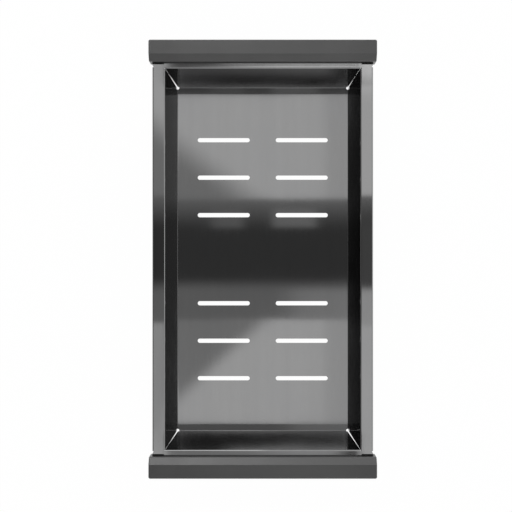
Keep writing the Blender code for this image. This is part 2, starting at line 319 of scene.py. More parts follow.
def brushed_group():
    """Brush lines that run along the second coordinate, in fine hairs and broader drifts."""
    group, given, made = new_group("brushed_lines", {
        "Vector": None, "Hairs per metre": 2600.0, "Hair stretch": 0.02, "Drift per metre": 90.0,
    }, ("Hairs", "Drifts"))
    for fineness, lines, detail, roughness in (
        ("Hairs per metre", "Hairs", 3.0, 0.6), ("Drift per metre", "Drifts", 2.0, 0.5),
    ):
        slow = times(group, given[fineness], given["Hair stretch"])
        scale = vector_of(group, given[fineness], slow, slow)
        place = vector_math(group, "MULTIPLY", given["Vector"], scale)[0]
        group.links.new(noise(group, place, 1.0, detail, roughness), made[lines])
    return group


def mottle_group():
    """Slow cloudy unevenness, such as a coating or a moulding has, and a fine grain."""
    group, given, made = new_group("mottle_and_grain", {
        "Vector": None, "Clouds per metre": 20.0, "Grains per metre": 1500.0,
    }, ("Clouds", "Grain"))
    clouds = noise(group, given["Vector"], given["Clouds per metre"], 3.0, 0.55)
    grain = noise(group, given["Vector"], given["Grains per metre"], 2.0, 0.7)
    group.links.new(clouds, made["Clouds"])
    group.links.new(grain, made["Grain"])
    return group


def worn_group():
    """Where an edge has been rubbed: the difference between the bevelled normal and the true one."""
    group, given, made = new_group("rubbed_edges", {"Radius": 0.0006, "Breakup": 0.5}, ("Wear",))
    soft = add_node(group, "ShaderNodeBevel", {"samples": 4}, Radius=given["Radius"]).outputs[0]
    true = group.nodes.new("ShaderNodeNewGeometry").outputs["Normal"]
    bent = minus(group, 1.0, vector_math(group, "DOT_PRODUCT", soft, true)["Value"])
    wear = times(group, ramp(group, bent, 0.01, 0.2), given["Breakup"], True)
    group.links.new(wear, made["Wear"])
    return group


def band_group():
    """Where a value lies between two limits, each with its own softness."""
    group, given, made = new_group("soft_band", {
        "Value": 0.0, "Low": -1.0, "Low softness": 0.1, "High": 1.0, "High softness": 0.1,
    }, ("Mask",))
    masks = []
    for limit, sign in (("Low", 1.0), ("High", -1.0)):
        past = times(group, minus(group, given["Value"], given[limit]), sign)
        share = math_node(group, "DIVIDE", past, given[f"{limit} softness"])
        masks.append(ramp(group, share, -0.5, 0.5))
    group.links.new(times(group, *masks), made["Mask"])
    return group


def placed_group(tree, group, **inputs):
    return add_node(tree, "ShaderNodeGroup", {"node_tree": group}, **inputs).outputs


# Materials of the pieces

def new_material(name):
    material = bpy.data.materials.new(name)
    material.use_nodes = True
    tree = material.node_tree
    return material, tree, tree.nodes["Principled BSDF"]


def bumped(tree, height, distance, strength, **under):
    inputs = {"Height": height, "Distance": distance, "Strength": strength, **under}
    return add_node(tree, "ShaderNodeBump", **inputs).outputs[0]


def gunmetal_material():
    """Dark coated stainless sheet: bright enough to mirror, with a fine brushing along the blank."""
    material, tree, shader = new_material("gunmetal_steel")
    blank = add_node(tree, "ShaderNodeUVMap", {"uv_map": BLANK_MAP}).outputs[0]
    place = place_on_object(tree)
    brushed = placed_group(tree, brushed_lines, Vector=blank)
    mottled = placed_group(tree, mottle_and_grain, Vector=place, Clouds_per_metre=14.0)
    hairs, drifts, clouds = (
        ramp(tree, pattern, 0.30, 0.70)
        for pattern in (brushed["Hairs"], brushed["Drifts"], mottled["Clouds"])
    )
    streaks = plus(tree, times(tree, hairs, 0.6), times(tree, drifts, 0.4))
    tone = mixed_colour(tree, streaks, grey(STEEL_DARK), grey(STEEL_LIGHT))
    tone = mixed_colour(tree, times(tree, clouds, 0.3), tone, STEEL_CLOUDED)
    roughness = plus(tree, STEEL_ROUGHNESS, times(tree, hairs, HAIR_ROUGHNESS))
    roughness = plus(tree, roughness, times(tree, clouds, CLOUD_ROUGHNESS))
    wavy = bumped(tree, noise(tree, place, 11.0, 1.0, 0.4), 0.0004, 0.20)
    tangent = add_node(tree, "ShaderNodeTangent", {"direction_type": "UV_MAP", "uv_map": BLANK_MAP})
    set_inputs(tree, shader, {
        "Base Color": tone, "Metallic": 1.0, "Roughness": roughness, "Anisotropic": 0.5,
        "Normal": bumped(tree, brushed["Hairs"], 0.000003, 0.25, Normal=wavy),
        "Tangent": tangent.outputs[0],
    })
    return material


def moulded_material(name, dark, light, roughness, gloss, grain_depth):
    """Moulded plastic: a fine matte grain, slow unevenness and faintly rubbed edges."""
    material, tree, shader = new_material(name)
    mottled = placed_group(tree, mottle_and_grain, Vector=place_on_object(tree), Clouds_per_metre=26.0)
    wear = placed_group(tree, rubbed_edges, Radius=0.0005, Breakup=mottled["Clouds"])["Wear"]
    clouds = ramp(tree, mottled["Clouds"], 0.32, 0.68)
    tone = mixed_colour(tree, clouds, grey(dark), grey(light))
    set_inputs(tree, shader, {
        "Base Color": mixed_colour(tree, times(tree, wear, 0.5), tone, grey(light * 1.35)),
        "Roughness": plus(tree, roughness, times(tree, clouds, 0.08)),
        "Normal": bumped(tree, mottled["Grain"], grain_depth, 0.35),
        "IOR": 1.54, "Specular IOR Level": gloss,
    })
    return material


def screw_material():
    """Plain stainless, with light handling marks."""
    material, tree, shader = new_material("screw_steel")
    mottled = placed_group(tree, mottle_and_grain, Vector=place_on_object(tree),
                           Clouds_per_metre=400.0, Grains_per_metre=6000.0)
    clouds = ramp(tree, mottled["Clouds"], 0.30, 0.70)
    set_inputs(tree, shader, {
        "Base Color": mixed_colour(tree, clouds, grey(0.50), (0.58, 0.58, 0.59, 1.0)),
        "Metallic": 1.0, "Roughness": plus(tree, 0.22, times(tree, mottled["Grain"], 0.2)),
        "Normal": bumped(tree, mottled["Grain"], 0.00001, 0.3),
    })
    return material


# Mesh helpers

def mesh_from(bm, name):
    mesh = bpy.data.meshes.new(name)
    bm.to_mesh(mesh)
    bm.free()
    return mesh


def new_object(name, mesh):
    body = bpy.data.objects.new(name, mesh)
    bpy.context.scene.collection.objects.link(body)
    return body


def applied(body):
    """Gives a body the plain mesh that its modifiers make, and takes the modifiers away."""
    graph = bpy.context.evaluated_depsgraph_get()
    mesh = bpy.data.meshes.new_from_object(body.evaluated_get(graph), depsgraph=graph)
    body.modifiers.clear()
    body.data = mesh
    return body


def finish_piece(body, edge_width):
    """Makes a body's mesh plain, with its sharp edges rounded and its flat faces shaded flat."""
    applied(body).data.shade_smooth()
    edge = body.modifiers.new("soft_edges", "BEVEL")
    edge.width = edge_width
    edge.segments = EDGE_STEPS
    edge.limit_method = "ANGLE"
    edge.angle_limit = SMOOTH_ANGLE
    edge.use_clamp_overlap = True
    edge.miter_outer = "MITER_ARC"
    doubles = body.modifiers.new("doubles", "WELD")
    doubles.merge_threshold = MERGE_DISTANCE
    flat = body.modifiers.new("flat_faces", "WEIGHTED_NORMAL")
    flat.mode = "FACE_AREA"
    flat.weight = 90
    applied(body)


def dressed(body, material, slot, *nodes):
    """Finishes a piece: its material and the nodes that it stands for. Its slot is not used."""
    body.data.materials.clear()
    body.data.materials.append(material)
    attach(body, "root")
    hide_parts(*nodes)


# The pan's sheet, folded from its blank. Each vertex keeps its place on the flat blank too

def extrude_edge(bm, edge):
    made = bmesh.ops.extrude_edge_only(bm, edges=[edge])["geom"]
    return next(item for item in made if isinstance(item, bmesh.types.BMEdge))


def wall_rows():
    """(run, reach, height) of a wall's upper face, from the floor's fold to the flange.

    The run is measured over the metal, and the reach from the corner of the well's flat faces.
    """
    rows = []
    for step in range(FOLD_STEPS + 1):
        angle = wall_angle * step / FOLD_STEPS
        reach = BEND_RADIUS * sin(angle) - foot_tangent
        rows.append((BEND_RADIUS * angle, reach, SHEET + BEND_RADIUS * (1 - cos(angle))))
    run, reach, height = rows[-1]
    for step in range(1, RELIEF_ROWS + 1):
        further = (relief_centre + RELIEF_RADIUS - run) * step / RELIEF_ROWS
        rise = further * sin(wall_angle)
        rows.append((run + further, reach + further * cos(wall_angle), height + rise))
    run, reach, height = rows[-1]
    for share in sorted(closed_at for _, closed_at in SEAMS.values()):
        further = (SHEET + share * well_depth - height) / sin(wall_angle)
        rows.append((run + further, reach + further * cos(wall_angle), SHEET + share * well_depth))
    run, reach, height = rows[-1]
    for step in range(FOLD_STEPS + 1):
        angle = wall_angle * (1 - step / FOLD_STEPS)
        bent_reach = WALL_LEAN + rim_tangent - outer_bend * sin(angle)
        bent_height = flange_top - outer_bend * (1 - cos(angle))
        if step == 0:
            run += hypot(bent_reach - reach, bent_height - height)
        rows.append((run + outer_bend * (wall_angle - angle), bent_reach, bent_height))
    return rows


def wall_span(run, reach, height, foot_gap, closed_at):
    """How far a wall's row runs past the well's corner, in at the relief and then along the seam.

    The seam's gap closes at a share of the well's depth.
    """
    share = (height - SHEET) / well_depth / closed_at
    seam = reach - max(SEAM_CLOSED_GAP, foot_gap * (1 - share))
    across = RELIEF_RADIUS ** 2 - (run - relief_centre) ** 2
    if across <= 0:
        return seam
    return min(seam, relief_centre - foot_tangent - sqrt(across))


def fold_strip(bm, edge, outward, along, out_tangent, rows):
    """Extrudes an edge through rows of (run, reach, height, spans), and returns each new edge."""
    blank = bm.verts.layers.float_vector[BLANK_MAP]
    made = []
    for run, reach, height, spans in rows:
        edge = extrude_edge(bm, edge)
        for vert in edge.verts:
            side = 1 if vert.co.dot(along) > 0 else -1
            across = along * side * spans[side]
            vert[blank] = outward * (out_tangent + run) + across
            vert.co = outward * reach + across + Vector((0, 0, height))
        made.append(edge)
    return made


def corner_of(outward, along, side):
    corner = outward + along * side
    return (round(corner.x), round(corner.y))


def fold_wall(bm, edge, outward, along):
    """One wall with its folds. Returns its rim edge, that edge's row and where its run starts."""
    half_out, half_along = half_floor_width, half_floor_length
    if abs(outward.y) > 0:
        half_out, half_along = half_along, half_out
    rows = []
    for run, reach, height in wall_rows()[1:]:
        spans = {
            side: half_along + wall_span(run, reach, height, *SEAMS[corner_of(outward, along, side)])
            for side in (-1, 1)
        }
        rows.append((run, half_out + reach, height, spans))
    out_tangent = half_out - foot_tangent
    return fold_strip(bm, edge, outward, along, out_tangent, rows)[-1], rows[-1], out_tangent


def tucked_end():
    """(reach, drop) of the side flange's upper face where it dips under the cap, outwards."""
    rounds = TUCK_ROUND + TUCK_HOLLOW
    slope = (TUCK_DROP - rounds * (1 - cos(TUCK_ANGLE))) / tan(TUCK_ANGLE)
    bottom = rail_inner - TUCK_SHORT
    start = bottom - rounds * sin(TUCK_ANGLE) - slope
    rows = []
    for step in range(ROUND_STEPS + 1):
        angle = TUCK_ANGLE * step / ROUND_STEPS
        rows.append((start + TUCK_ROUND * sin(angle), TUCK_ROUND * (1 - cos(angle))))
    for step in range(ROUND_STEPS + 1):
        angle = TUCK_ANGLE * (1 - step / ROUND_STEPS)
        rows.append((bottom - TUCK_HOLLOW * sin(angle), TUCK_DROP - TUCK_HOLLOW * (1 - cos(angle))))
    return [*rows, (rail_inner + TUCK_UNDER, TUCK_DROP)]


def fold_side_flange(bm, rim, rim_row, out_tangent, outward, along):
    """The side flange, its fold and its lip, and the ends that dip under both rails."""
    rim_run, rim_reach, _, spans = rim_row
    fold_start = half_pan_width - outer_bend
    flat = fold_start - rim_reach
    rows = []
    for step in range(FOLD_STEPS + 1):
        angle = pi / 2 * step / FOLD_STEPS
        reach, drop = fold_start + outer_bend * sin(angle), outer_bend * (1 - cos(angle))
        rows.append((rim_run + flat + outer_bend * angle, reach, flange_top - drop, spans))
    last_run = rows[-1][0] + LIP_DEPTH - outer_bend
    rows.append((last_run, half_pan_width, flange_top - LIP_DEPTH, spans))
    first = fold_strip(bm, rim, outward, along, out_tangent, rows)[0]
    corners = set(rim.verts) | set(first.verts)
    flange = next(face for face in rim.link_faces if set(face.verts) == corners)
    blank = bm.verts.layers.float_vector[BLANK_MAP]
    for end in [edge for edge in flange.edges if edge not in (rim, first)]:
        side = 1 if end.verts[0].co.dot(along) > 0 else -1
        for reach_along, drop in tucked_end():
            end = extrude_edge(bm, end)
            inner, outer = sorted(end.verts, key=lambda vert: vert.co.dot(outward))
            for vert, reach in ((inner, rim_reach), (outer, half_pan_width)):
                across = along * side * reach_along
                vert[blank] = outward * (out_tangent + rim_run + reach - rim_reach) + across
                vert.co = outward * reach + across + Vector((0, 0, flange_top - drop))


def relief_arc(side_x, side_y):
    """The relief's bite out of one corner of the floor, as (x, y)."""
    flank = sqrt(RELIEF_RADIUS ** 2 - relief_centre ** 2)
    start, end = atan2(-flank, -relief_centre), atan2(-relief_centre, -flank)
    points = []
    for step in range(RELIEF_ARC_STEPS + 1):
        angle = start + (end - start) * step / RELIEF_ARC_STEPS
        x = half_floor_width - foot_tangent + relief_centre + RELIEF_RADIUS * cos(angle)
        y = half_floor_length - foot_tangent + relief_centre + RELIEF_RADIUS * sin(angle)
        points.append((side_x * x, side_y * y))
    return points if side_x == side_y else points[::-1]


def folded_sheet():
    """The pan's upper face, as an open surface with its flat blank as a UV map."""
    bm = bmesh.new()
    blank = bm.verts.layers.float_vector.new(BLANK_MAP)
    outline = [point for corner in ((1, 1), (-1, 1), (-1, -1), (1, -1)) for point in relief_arc(*corner)]
    verts = [bm.verts.new((x, y, SHEET)) for x, y in outline]
    for vert in verts:
        vert[blank] = vert.co
    floor = bm.faces.new(verts)
    for edge in [edge for edge in floor.edges if edge.calc_length() > half_floor_width]:
        middle = (edge.verts[0].co + edge.verts[1].co) / 2
        if abs(middle.x) > abs(middle.y):
            outward, along = Vector((1 if middle.x > 0 else -1, 0, 0)), Vector((0, 1, 0))
            fold_side_flange(bm, *fold_wall(bm, edge, outward, along), outward, along)
        else:
            outward, along = Vector((0, 1 if middle.y > 0 else -1, 0)), Vector((1, 0, 0))
            rim, (run, reach, height, spans), out_tangent = fold_wall(bm, edge, outward, along)
            rows = [
                (run + far - reach, far, height - END_FLANGE_DIP, spans)
                for far in (rail_inner, flange_end)
            ]
            fold_strip(bm, rim, outward, along, out_tangent, rows)
    flat = bm.loops.layers.uv.new(BLANK_MAP)
    for face in bm.faces:
        for loop in face.loops:
            loop[flat].uv = loop.vert[blank].xy
    bm.verts.layers.float_vector.remove(blank)
    return mesh_from(bm, "tray_pan_sheet")


# Geometry Nodes helpers

def geometry_tree(name, sizes, counts, material):
    """A Geometry Nodes tree with named inputs, and its ends."""
    tree = bpy.data.node_groups.new(name, "GeometryNodeTree")
    kinds = {"Geometry": "Geometry", **dict.fromkeys(sizes, "Float"), **dict.fromkeys(counts, "Int"),
             material: "Material"}
    for label, kind in kinds.items():
        tree.interface.new_socket(label, in_out="INPUT", socket_type="NodeSocket" + kind)
    tree.interface.new_socket("Geometry", in_out="OUTPUT", socket_type="NodeSocketGeometry")
    return tree, *ends_of(tree)


def run_tree(body, tree, values):
    """Puts a Geometry Nodes tree on a body and sets its inputs by their identifiers."""
    modifier = body.modifiers.new(tree.name, "NODES")
    modifier.node_group = tree
    for item in tree.interface.items_tree:
        if item.in_out == "INPUT" and item.name in values:
            modifier[item.identifier] = values[item.name]


def joined(tree, *parts):
    node = tree.nodes.new("GeometryNodeJoinGeometry")
    for part in parts:
        tree.links.new(part, node.inputs[0])
    return node.outputs[0]


def moved(tree, part, offset):
    return add_node(tree, "GeometryNodeTransform", Geometry=part, Translation=offset).outputs[0]


def placed_on(tree, points, part):
    """Real copies of a part, one at each point."""
    copies = add_node(tree, "GeometryNodeInstanceOnPoints", Points=points, Instance=part)
    return add_node(tree, "GeometryNodeRealizeInstances", Geometry=copies.outputs[0]).outputs[0]


def grid_of_points(tree, columns, rows, column_pitch, row_pitch):
    """Points in the XY plane, in columns along X and rows along Y, centred on the origin."""
    width = times(tree, minus(tree, columns, 1.0), column_pitch)
    depth = times(tree, minus(tree, rows, 1.0), row_pitch)
    grid = add_node(tree, "GeometryNodeMeshGrid",
                    Size_X=width, Size_Y=depth, Vertices_X=columns, Vertices_Y=rows)
    return grid.outputs[0]


def centred_between(tree, part, bottom, top):
    return moved(tree, part, vector_of(tree, z=halved(tree, plus(tree, top, bottom))))


def upright_post(tree, radius, bottom, top):
    """A cylinder between two heights."""
    post = add_node(tree, "GeometryNodeMeshCylinder",
                    Vertices=CIRCLE_STEPS, Radius=radius, Depth=minus(tree, top, bottom))
    return centred_between(tree, post.outputs[0], bottom, top)


def block(tree, width, length, bottom, top):
    """A box between two heights, centred on the Z axis."""
    size = vector_of(tree, width, length, minus(tree, top, bottom))
    box = add_node(tree, "GeometryNodeMeshCube", Size=size)
    return centred_between(tree, box.outputs[0], bottom, top)


def combined(tree, operation, body, *tools):
    node = add_node(tree, "GeometryNodeMeshBoolean", {"operation": operation, "solver": "EXACT"})
    first = "Mesh 1" if operation == "DIFFERENCE" else "Mesh 2"
    tree.links.new(body, node.inputs[first])
    for tool in tools:
        tree.links.new(tool, node.inputs["Mesh 2"])
    return node.outputs[0]


def finish_tree(tree, made, part, material):
    coated = add_node(tree, "GeometryNodeSetMaterial", Geometry=part, Material=material)
    tree.links.new(coated.outputs[0], made["Geometry"])
    return tree


def obround(tree, length, width, bottom, height):
    """A solid with straight sides and round ends, standing on a level."""
    outline = add_node(tree, "GeometryNodeCurvePrimitiveQuadrilateral", Width=length, Height=width)
    rounded = add_node(tree, "GeometryNodeFilletCurve", {"mode": "POLY"}, Curve=outline.outputs[0],
                       Radius=times(tree, width, SLOT_ROUND_SHARE), Count=SLOT_END_STEPS)
    filled = add_node(tree, "GeometryNodeFillCurve", {"mode": "NGONS"},
                      Curve=rounded.outputs[0]).outputs[0]
    raised = add_node(tree, "GeometryNodeExtrudeMesh", Mesh=filled,
                      Offset=vector_of(tree, z=height), Individual=False).outputs[0]
    under = add_node(tree, "GeometryNodeFlipFaces", i0=filled).outputs[0]
    closed = add_node(tree, "GeometryNodeMergeByDistance",
                      Geometry=joined(tree, raised, under), Distance=MERGE_DISTANCE)
    return moved(tree, closed.outputs[0], vector_of(tree, z=bottom))


def punched_tree():
    """Punches the drain slots, in equal rows on both sides of the middle, and the screw holes."""
    tree, given, made = geometry_tree("punched_holes", (
        "Slot length", "Slot width", "Column pitch", "First row", "Row pitch", "Sheet",
        *SCREW_SIZES, "Screw hole radius", "Flange top",
    ), ("Rows", "Screws"), "Metal")
    slot = obround(tree, given["Slot length"], given["Slot width"], times(tree, given["Sheet"], -1.0),
                   times(tree, given["Sheet"], 3.0))
    depth = times(tree, minus(tree, given["Rows"], 1.0), given["Row pitch"])
    middle = plus(tree, given["First row"], halved(tree, depth))
    grid = grid_of_points(tree, 2, given["Rows"], given["Column pitch"], given["Row pitch"])
    slots = placed_on(tree, grid, slot)
    under = minus(tree, given["Flange top"], times(tree, given["Sheet"], 2.0))
    hole = upright_post(tree, given["Screw hole radius"], under,
                        plus(tree, given["Flange top"], given["Sheet"]))
    cut = combined(
        tree, "DIFFERENCE", given["Geometry"], placed_on(tree, places_in_both_rails(tree, given), hole),
        moved(tree, slots, vector_of(tree, y=middle)),
        moved(tree, slots, vector_of(tree, y=times(tree, middle, -1.0))),
    )
    return finish_tree(tree, made, cut, given["Metal"])


def places_in_both_rails(tree, given):
    """A point at each screw's place."""
    return grid_of_points(tree, given["Screws"], 2, given["Screw pitch"],
                          times(tree, given["Screw line"], 2.0))


def make_pan():
    pan = new_object("folded_pan", folded_sheet())
    sheet = pan.modifiers.new("sheet", "SOLIDIFY")
    sheet.thickness = SHEET
    sheet.offset = -1
    sheet.use_even_offset = True
    run_tree(pan, punched_tree(), {
        "Slot length": SLOT_LENGTH, "Slot width": SLOT_WIDTH, "Column pitch": SLOT_COLUMN_PITCH,
        "First row": FIRST_ROW, "Row pitch": ROW_PITCH, "Rows": ROWS_EACH_SIDE, "Sheet": SHEET,
        "Screw hole radius": hole_radius, "Flange top": flange_top, "Metal": gunmetal, **SCREW_PLACES,
    })
    finish_piece(pan, DEBURR)
    dressed(pan, gunmetal, "gunmetal_steel", "tray_pan")


# Rails: each piece is modelled at the rear, and a copy is turned half round for the front

def add_box(bm, low, high):
    low, high = Vector(low), Vector(high)
    place = Matrix.Translation((low + high) / 2) @ Matrix.Diagonal((*(high - low), 1.0))
    bmesh.ops.create_cube(bm, size=1.0, matrix=place)


def round_edges(bm, edges, radius, steps=ROUND_STEPS):
    bmesh.ops.bevel(bm, geom=edges, offset=radius, segments=steps, profile=0.5, affect="EDGES",
                    clamp_overlap=True)


def rail_block(low, high, facet_inset):
    """A bar whose top slopes down towards the pan, by facet_inset below the cap's own facet."""
    bm = bmesh.new()
    add_box(bm, low, high)
    slope = Vector((0, -FACET_DROP, FACET_WIDTH)).normalized()
    crease = Vector((0, rail_inner + FACET_WIDTH, cap_top)) - slope * facet_inset
    cut = bmesh.ops.bisect_plane(bm, geom=bm.verts[:] + bm.edges[:] + bm.faces[:],
                                 plane_co=crease, plane_no=slope, clear_outer=True)
    rim = [item for item in cut["geom_cut"] if isinstance(item, bmesh.types.BMEdge)]
    bmesh.ops.holes_fill(bm, edges=rim)
    bmesh.ops.recalc_face_normals(bm, faces=bm.faces)
    return bm


def is_upright(edge):
    span = edge.verts[0].co - edge.verts[1].co
    return abs(span.z) > max(abs(span.x), abs(span.y))


def edge_rises(edge):
    """How far each of an edge's two faces looks up, the steeper face first."""
    return sorted(face.normal.z for face in edge.link_faces)


def cap_shell():
    """The cap's outside: rounded corners, a softened top and a crease where the facet starts."""
    bm = rail_block((-half_rail_length, rail_inner, cap_bottom),
                    (half_rail_length, rail_outer, cap_top), 0)
    for radius, side in ((OUTER_CORNER_RADIUS, 1), (INNER_CORNER_RADIUS, -1)):
        corners = [edge for edge in bm.edges if is_upright(edge)
                   and (edge.verts[0].co.y - rail_middle) * side > 0]
        round_edges(bm, corners, radius, CORNER_STEPS)
    bm.normal_update()
    rim = [edge for edge in bm.edges
           if edge_rises(edge)[0] < UPRIGHT_RISE and edge_rises(edge)[1] > TOP_RISE]
    round_edges(bm, rim, CAP_EDGE_RADIUS)
    bm.normal_update()
    crease = [edge for edge in bm.edges if edge.calc_length() > rail_inner
              and edge_rises(edge)[0] > FACET_RISE and edge_rises(edge)[1] > LEVEL_RISE]
    round_edges(bm, crease, CREASE_SOFTENING, CREASE_STEPS)
    return mesh_from(bm, "cap_shell")


def cut_away(body, *solids):
    """Takes solids out of a body, and leaves it a plain mesh."""
    cutters = []
    for bm in solids:
        cutters.append(new_object("cutter", mesh_from(bm, "cutter")))
        cut = body.modifiers.new("cut", "BOOLEAN")
        cut.operation = "DIFFERENCE"
        cut.solver = "EXACT"
        cut.object = cutters[-1]
    applied(body)
    for cutter in cutters:
        bpy.data.objects.remove(cutter)


def on_rear_line(tree, points, part, line):
    """Copies of a part, one at each point, moved out to a line along the rear rail."""
    return moved(tree, placed_on(tree, points, part), vector_of(tree, y=line))


def bosses_tree():
    """Bosses under the cap's ceiling for the screws, and ribs between them and out to the ends."""
    tree, given, made = geometry_tree("bosses_and_ribs", (
        *SCREW_SIZES, "Boss radius", "Bore radius", "Bore top", "Foot", "Head",
        "Rib thickness", "Rib length", "Rib line", "End rib",
    ), ("Screws",), "Plastic")
    columns = grid_of_points(tree, given["Screws"], 1, given["Screw pitch"], 0.0)
    spaces = grid_of_points(tree, minus(tree, given["Screws"], 1.0), 1, given["Screw pitch"], 0.0)
    ends = grid_of_points(tree, 2, 1, times(tree, given["End rib"], 2.0), 0.0)
    boss = upright_post(tree, given["Boss radius"], given["Foot"], given["Head"])
    rib = block(tree, given["Rib thickness"], given["Rib length"], given["Foot"], given["Head"])
    solid = combined(
        tree, "UNION", given["Geometry"], on_rear_line(tree, columns, boss, given["Screw line"]),
        *(on_rear_line(tree, points, rib, given["Rib line"]) for points in (spaces, ends)),
    )
    bore_foot = minus(tree, given["Foot"], OVERRUN)
    bore = upright_post(tree, given["Bore radius"], bore_foot, given["Bore top"])
    bores = on_rear_line(tree, columns, bore, given["Screw line"])
    return finish_tree(tree, made, combined(tree, "DIFFERENCE", solid, bores), given["Plastic"])


def make_caps():
    hollow = rail_block(
        (-half_hollow_length, hollow_inner, cap_bottom - OVERRUN),
        (half_hollow_length, hollow_outer, ceiling), CAP_WALL,
    )
    mouth = bmesh.new()
    add_box(mouth, (-half_hollow_length, rail_inner - OVERRUN, cap_bottom - OVERRUN),
            (half_hollow_length, hollow_inner + OVERRUN, cap_seat))
    cap = new_object("rail_cap", cap_shell())
    cut_away(cap, hollow, mouth)
    rib_inner, rib_outer = hollow_inner + RIB_SETBACK, hollow_outer + SINK
    run_tree(cap, bosses_tree(), {
        "Boss radius": bore_radius + BOSS_WALL, "Bore radius": bore_radius, "Bore top": bore_top,
        "Foot": cap_seat, "Head": ceiling + SINK, "Rib thickness": RIB_THICKNESS,
        "Rib length": rib_outer - rib_inner, "Rib line": (rib_outer + rib_inner) / 2,
        "End rib": (end_screw + half_hollow_length) / 2, "Plastic": rail_plastic, **SCREW_PLACES,
    })
    finish_piece(cap, MOULDED_EDGE)
    in_both_rails(cap, "cap", rail_plastic, "rail_plastic")


def in_both_rails(body, piece, material, slot):
    """Names a rear piece and dresses it, and its copy, turned half round for the front."""
    front = new_object(f"front_{piece}", body.data.copy())
    front.data.transform(Matrix.Rotation(pi, 4, "Z"))
    body.name = f"rear_{piece}"
    dressed(body, material, slot, f"rear_rail_{piece}")
    dressed(front, material, slot, f"front_rail_{piece}")


def grooves_tree():
    """Grooves along the face that slides on the ledge, and a counterbored hole for each screw."""
    tree, given, made = geometry_tree("grooves_and_holes", (
        "Groove pitch", "Groove width", "Groove length", "Groove roof", "Groove line",
        *SCREW_SIZES, "Hole radius", "Head radius", "Head roof", "Foot", "Top",
    ), ("Grooves", "Screws"), "Plastic")
    groove = block(tree, given["Groove length"], given["Groove width"],
                   given["Foot"], given["Groove roof"])
    lines = grid_of_points(tree, 1, given["Grooves"], 0.0, given["Groove pitch"])
    columns = grid_of_points(tree, given["Screws"], 1, given["Screw pitch"], 0.0)
    hole = upright_post(tree, given["Hole radius"], given["Foot"], given["Top"])
    head = upright_post(tree, given["Head radius"], given["Foot"], given["Head roof"])
    cut = given["Geometry"]
    for points, tool, line in (
        (lines, groove, "Groove line"), (columns, hole, "Screw line"), (columns, head, "Screw line"),
    ):
        cut = combined(tree, "DIFFERENCE", cut, on_rear_line(tree, points, tool, given[line]))
    return finish_tree(tree, made, cut, given["Plastic"])


def make_bases():
    half_length = half_hollow_length - SEAT_CLEARANCE
    inner, outer = rail_inner + SEAT_CLEARANCE, hollow_outer - SEAT_CLEARANCE
    bm = bmesh.new()
    add_box(bm, (-half_length, inner, base_bottom), (half_length, outer, base_top))
    below = [edge for edge in bm.edges if all(vert.co.z < cap_bottom for vert in edge.verts)]
    round_edges(bm, below, BASE_EDGE_RADIUS)
    base = new_object("rail_base", mesh_from(bm, "rail_base"))
    run_tree(base, grooves_tree(), {
        "Grooves": GROOVE_COUNT, "Groove pitch": GROOVE_PITCH, "Groove width": GROOVE_WIDTH,
        "Groove length": 2 * (half_length + OVERRUN), "Groove roof": base_bottom + GROOVE_DEPTH,
        "Groove line": (inner + outer) / 2, "Hole radius": hole_radius,
        "Head radius": HEAD_DIAMETER / 2 + HEAD_CLEARANCE, "Head roof": counterbore_top,
        "Foot": base_bottom - OVERRUN, "Top": base_top + OVERRUN,
        "Plastic": base_plastic, **SCREW_PLACES,
    })
    finish_piece(base, MOULDED_EDGE)
    in_both_rails(base, "base", base_plastic, "base_plastic")


def screw_rows():
    """(radius, height, threaded) of the screw's outline, from its tip down to its head."""
    shank, head = SCREW_DIAMETER / 2, HEAD_DIAMETER / 2
    thread_top = screw_tip - SCREW_POINT
    rows = [(shank / 2, screw_tip, False)]
    count = round((thread_top - head_seat) / THREAD_PITCH * THREAD_STEPS)
    for step in range(count + 1):
        rows.append((shank, thread_top + (head_seat - thread_top) * step / count, 0 < step < count))
    rows.append((head, head_seat, False))
    for step in range(ROUND_STEPS + 1):
        angle = pi / 2 * step / ROUND_STEPS
        radius = head - HEAD_ROUND * (1 - cos(angle))
        rows.append((radius, head_foot + HEAD_ROUND * (1 - sin(angle)), False))
    return rows


def screw_body():
    """One pan-head screw, point up, on the Z axis, with its thread as a wave in its surface."""
    bm = bmesh.new()
    rings = []
    for radius, height, threaded in screw_rows():
        ring = []
        for step in range(CIRCLE_STEPS):
            turn = step / CIRCLE_STEPS
            depth = 0.0
            if threaded:
                phase = (height / THREAD_PITCH - turn) % 1.0
                depth = THREAD_DEPTH * min(1.0, THREAD_STEEPNESS * abs(phase - 0.5))
            reach = radius - depth
            ring.append(bm.verts.new((reach * cos(2 * pi * turn), reach * sin(2 * pi * turn), height)))
        rings.append(ring)
    for upper, lower in zip(rings, rings[1:]):
        for step in range(CIRCLE_STEPS):
            after = (step + 1) % CIRCLE_STEPS
            bm.faces.new((upper[step], lower[step], lower[after], upper[after]))
    bm.faces.new(rings[0])
    bm.faces.new(rings[-1][::-1])
    bmesh.ops.recalc_face_normals(bm, faces=bm.faces)
    return mesh_from(bm, "screw")


def recess_arm(half_x, half_y):
    """One arm of the cross recess: it narrows as it goes in."""
    bm = bmesh.new()
    add_box(bm, (-half_x, -half_y, head_foot - OVERRUN), (half_x, half_y, head_foot + RECESS_DEPTH))
    for vert in bm.verts:
        if vert.co.z > head_foot:
            vert.co.x *= RECESS_TAPER
            vert.co.y *= RECESS_TAPER
    return bm


def screws_tree():
    """The same screw at each place in both rails."""
    tree, given, made = geometry_tree("screws", SCREW_SIZES, ("Screws",), "Metal")
    screws = placed_on(tree, places_in_both_rails(tree, given), given["Geometry"])
    return finish_tree(tree, made, screws, given["Metal"])


